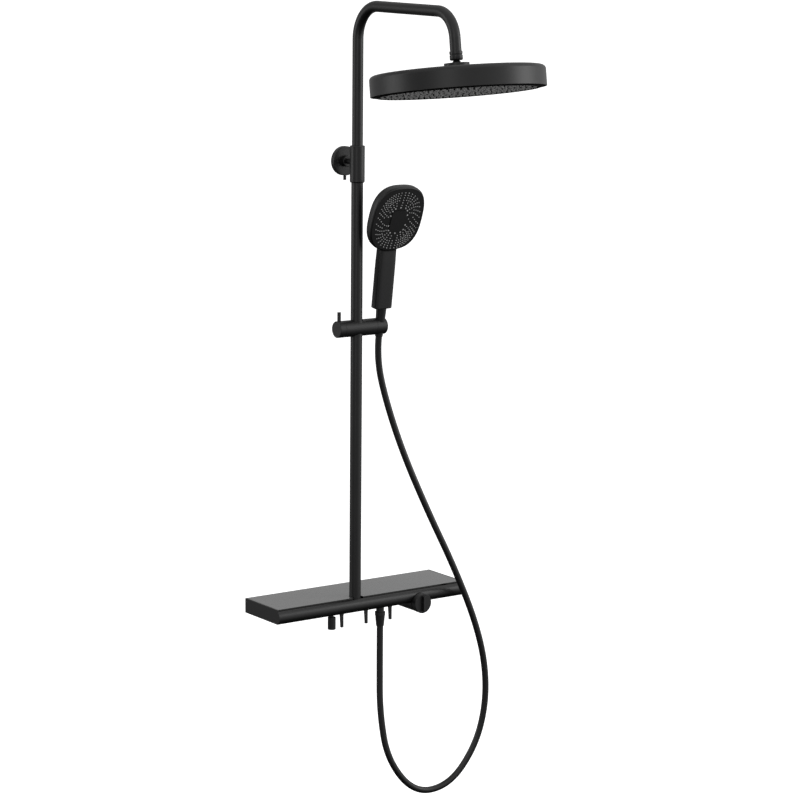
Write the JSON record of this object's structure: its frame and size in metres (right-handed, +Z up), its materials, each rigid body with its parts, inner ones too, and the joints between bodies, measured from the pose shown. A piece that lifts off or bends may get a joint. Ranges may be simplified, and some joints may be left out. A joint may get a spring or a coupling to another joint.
{
  "type": "rainfall shower column",
  "caption": "Wall-hung shower column: telescopic riser with swinging arm and tilting rain head, sliding holder with hand shower and hose, glass-topped mixer shelf with hooks.",
  "frame": {"origin": "on the wall, midway between the hot and the cold inlet, level with both", "axes": "+X right along the wall as seen from the room, +Y into the wall, +Z up; the column stands out towards -Y"},
  "size_m": [0.5392, 0.6534, 1.7625],
  "materials": {
    "satin_black_metal": "satin black powder coat",
    "satin_black_plastic": "satin black",
    "satin_black_rail": "satin black anodised",
    "brass": "machined",
    "smoked_glass": "polished smoked tempered glass",
    "black_face": "fine matt",
    "nozzle_silicone": "soft light grey",
    "black_hose": "smooth satin",
    "seal_rubber": "soft",
    "white_plastic": "moulded",
    "steel": "bright",
    "black_head_plastic": "satin black"
  },
  "bodies": {
    "root": {"shelf_housing": "satin_black_rail", "glass_shelf": "smoked_glass", "left_end_cap": "satin_black_plastic", "right_end_cap": "satin_black_plastic", "wall_fixing_plates": "steel", "robe_hooks": "satin_black_metal", "hook_screws": "steel", "water_manifold": "white_plastic", "hot_union_nut": "brass", "cold_union_nut": "brass", "hot_filter_washer": "seal_rubber", "cold_filter_washer": "seal_rubber", "riser_socket": "brass", "riser_seal_ring": "seal_rubber", "hose_outlet_nipple": "satin_black_metal", "outlet_hose_nut": "satin_black_metal", "mixer_body": "satin_black_plastic", "mixing_cartridge": "white_plastic", "cartridge_ring_nut": "brass", "lower_riser_tube": "satin_black_metal", "riser_sleeve": "satin_black_metal", "bracket_bar": "satin_black_metal", "shower_hose": "black_hose"},
    "mixer_control": {"cartridge_stem": "brass", "mixer_knob": "satin_black_plastic", "knob_grub_screw": "steel"},
    "diverter": {"diverter_knob": "satin_black_metal", "diverter_stem": "satin_black_metal"},
    "rosette": {"wall_rosette": "satin_black_metal", "rosette_thumb_screw": "satin_black_metal"},
    "riser_bush": {"riser_guide_bush": "white_plastic"},
    "arm": {"shower_arm": "satin_black_metal", "arm_socket_nut": "satin_black_metal", "arm_ferrule": "satin_black_metal"},
    "ball_seat": {"ball_seat_ring": "white_plastic"},
    "rain_head": {"swivel_ball_flange": "satin_black_metal", "head_shell": "black_head_plastic", "head_face_plate": "black_face", "head_nozzle_mat": "nozzle_silicone", "head_water_chamber": "white_plastic", "head_inlet_washer": "seal_rubber"},
    "slider": {"slider_body": "satin_black_plastic", "slider_liner": "satin_black_plastic"},
    "slider_lock": {"lock_knob": "satin_black_plastic", "lock_screw": "steel", "lock_lever": "satin_black_metal"},
    "holder": {"handset_holder": "satin_black_plastic", "holder_pivot": "steel"},
    "handset": {"handset_shell": "black_head_plastic", "handset_face_plate": "black_face", "handset_nozzle_mat": "nozzle_silicone", "spray_selector": "white_plastic", "button_spring": "steel", "handset_water_tube": "white_plastic", "hose_cone_nut": "satin_black_metal"},
    "button": {"spray_button": "black_face"}
  },
  "joints": [
    {"name": "mixer_turn", "type": "hinge", "parent": "root", "child": "mixer_control", "pos_m": [0.158, -0.13, -0.0075], "axis": [0, -1, 0], "range_deg": [-50, 50]},
    {"name": "diverter_pull", "type": "slide", "parent": "root", "child": "diverter", "axis": [0, 0, -1], "range_m": [0, 0.008]},
    {"name": "rosette_reach", "type": "slide", "parent": "root", "child": "rosette", "axis": [0, 1, 0], "range_m": [0, 0.005]},
    {"name": "riser_telescope", "type": "slide", "parent": "root", "child": "riser_bush", "axis": [0, 0, 1], "range_m": [-0.1, 0.1]},
    {"name": "arm_swivel", "type": "hinge", "parent": "riser_bush", "child": "arm", "pos_m": [0, -0.118, 1], "axis": [0, 0, 1], "range_deg": [-90, 90]},
    {"name": "head_spin", "type": "hinge", "parent": "arm", "child": "ball_seat", "pos_m": [0, -0.46747, 1.20774], "axis": [0, -0.1357, -0.9907], "range_deg": [-90, 90]},
    {"name": "head_tilt", "type": "hinge", "parent": "ball_seat", "child": "rain_head", "pos_m": [0, -0.46747, 1.20774], "axis": [1, 0, 0], "range_deg": [-12, 12]},
    {"name": "slider_slide", "type": "slide", "parent": "root", "child": "slider", "axis": [0, 0, 1], "range_m": [-0.3, 0.2], "deforming": ["shower_hose"]},
    {"name": "lock_turn", "type": "hinge", "parent": "slider", "child": "slider_lock", "pos_m": [-0.045, -0.118, 0.6155], "axis": [1, 0, 0], "range_deg": [-60, 60]},
    {"name": "holder_tilt", "type": "hinge", "parent": "slider", "child": "holder", "pos_m": [0.058, -0.118, 0.6155], "axis": [1, 0, 0], "range_deg": [-4, 15], "deforming": ["shower_hose"]},
    {"name": "handset_lift", "type": "slide", "parent": "holder", "child": "handset", "axis": [0, -0.1392, 0.9903], "range_m": [0, 0.06], "deforming": ["shower_hose"]},
    {"name": "button_press", "type": "slide", "parent": "handset", "child": "button", "axis": [0, 0.9336, 0.3584], "range_m": [0, 0.0025], "stiffness_N_per_m": 700, "springref_m": -0.0008, "deforming": ["button_spring"]}
  ]
}
